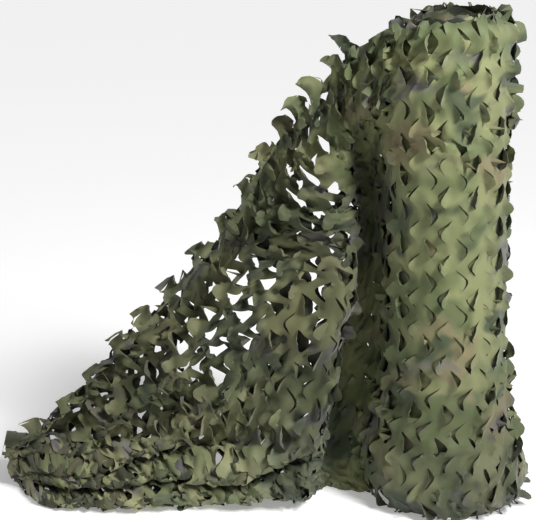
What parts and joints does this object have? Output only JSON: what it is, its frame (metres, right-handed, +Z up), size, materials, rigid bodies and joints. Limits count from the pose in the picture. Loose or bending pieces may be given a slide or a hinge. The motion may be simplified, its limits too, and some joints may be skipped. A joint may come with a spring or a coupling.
{
  "type": "camouflage net roll",
  "caption": "Camouflage net wound in an upright roll, its incised loose end folded once and fanned down to a pleated bundle on the floor.",
  "frame": {"origin": "centre of the roll's foot, on the floor", "axes": "+Z up along the roll, -X towards the tip of the loose end, -Y towards the side that its folds face"},
  "size_m": [1.6431, 0.5043, 1.5],
  "materials": {
    "wound_net": "matt coated polyester, woodland pattern",
    "loose_net": "matt coated polyester, woodland pattern"
  },
  "bodies": {
    "root": {"net_roll": "wound_net", "net_loose_end": "loose_net"}
  },
  "joints": []
}
